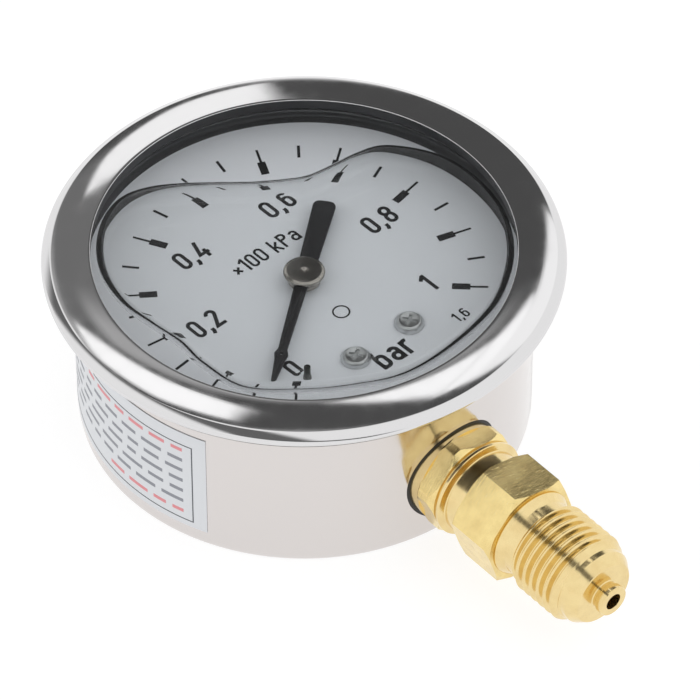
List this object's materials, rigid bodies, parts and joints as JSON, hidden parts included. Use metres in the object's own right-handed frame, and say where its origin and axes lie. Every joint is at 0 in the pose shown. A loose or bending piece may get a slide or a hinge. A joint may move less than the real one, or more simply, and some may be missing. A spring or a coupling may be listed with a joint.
{
  "type": "pressure gauge",
  "caption": "Liquid filled Bourdon tube pressure gauge with a round steel case, a clear window, a black pointer over a silver dial and a threaded brass stem at the bottom of the dial.",
  "frame": {"origin": "on the case axis at the back face of the case", "axes": "+Z out of the dial, +Y to the top of the dial, +X to the right of the dial; the threaded stem points along -Y"},
  "size_m": [0.071, 0.0983, 0.0291],
  "materials": {
    "case_steel": "bright rolled stainless steel with fine scratches",
    "bezel_steel": "polished stainless steel",
    "rubber": "smooth black rubber",
    "window_glass": "clear, flat",
    "stem_brass": "machined, with brushed flats",
    "movement_brass": "machined",
    "tube_bronze": "drawn bronze tube",
    "dial_silver": "silver matte with black print",
    "pointer_black": "matte black",
    "hub_steel": "satin",
    "screw_steel": "zinc plated",
    "label_film": "printed film"
  },
  "bodies": {
    "gauge": {"case": "case_steel", "bezel_ring": "bezel_steel", "bezel_seal": "rubber", "window": "window_glass", "window_gasket": "rubber", "socket": "stem_brass", "socket_seal": "rubber", "restrictor_screw": "movement_brass", "fill_plug": "rubber", "side_label": "label_film", "dial": "dial_silver", "dial_posts": "movement_brass", "dial_screws": "screw_steel", "stop_pin": "screw_steel", "back_plate": "movement_brass", "front_plate": "movement_brass", "plate_pillars": "movement_brass", "pillar_screws": "screw_steel", "movement_screws": "screw_steel", "bourdon_tube": "tube_bronze", "tube_tip": "movement_brass", "hairspring": "tube_bronze", "spring_stud": "movement_brass"},
    "pointer_shaft": {"pinion_arbor": "screw_steel", "pointer": "pointer_black", "pointer_hub": "hub_steel", "spring_collet": "movement_brass"},
    "sector": {"sector_gear": "movement_brass", "sector_arbor": "screw_steel", "link_pin": "screw_steel"},
    "link": {"link": "movement_brass", "tip_pin": "screw_steel"}
  },
  "joints": [
    {"name": "sector_hinge", "type": "hinge", "parent": "gauge", "child": "sector", "pos_m": [0, -0.011, 0.011], "axis": [0, 0, 1], "range_deg": [-0.89, 26.1], "stiffness_Nm_per_rad": 0.001},
    {"name": "pointer_hinge", "type": "hinge", "parent": "gauge", "child": "pointer_shaft", "pos_m": [0, 0, 0.0227], "axis": [0, 0, 1], "range_deg": [-261, 8.9]},
    {"name": "link_hinge", "type": "hinge", "parent": "sector", "child": "link", "pos_m": [-0.0012, -0.01637, 0.012], "axis": [0, 0, 1], "range_deg": [-26.1, 0.89]}
  ],
  "couplings": [
    {"joint": "pointer_hinge", "follows": "sector_hinge", "ratio": -10},
    {"joint": "link_hinge", "follows": "sector_hinge", "ratio": -1}
  ]
}
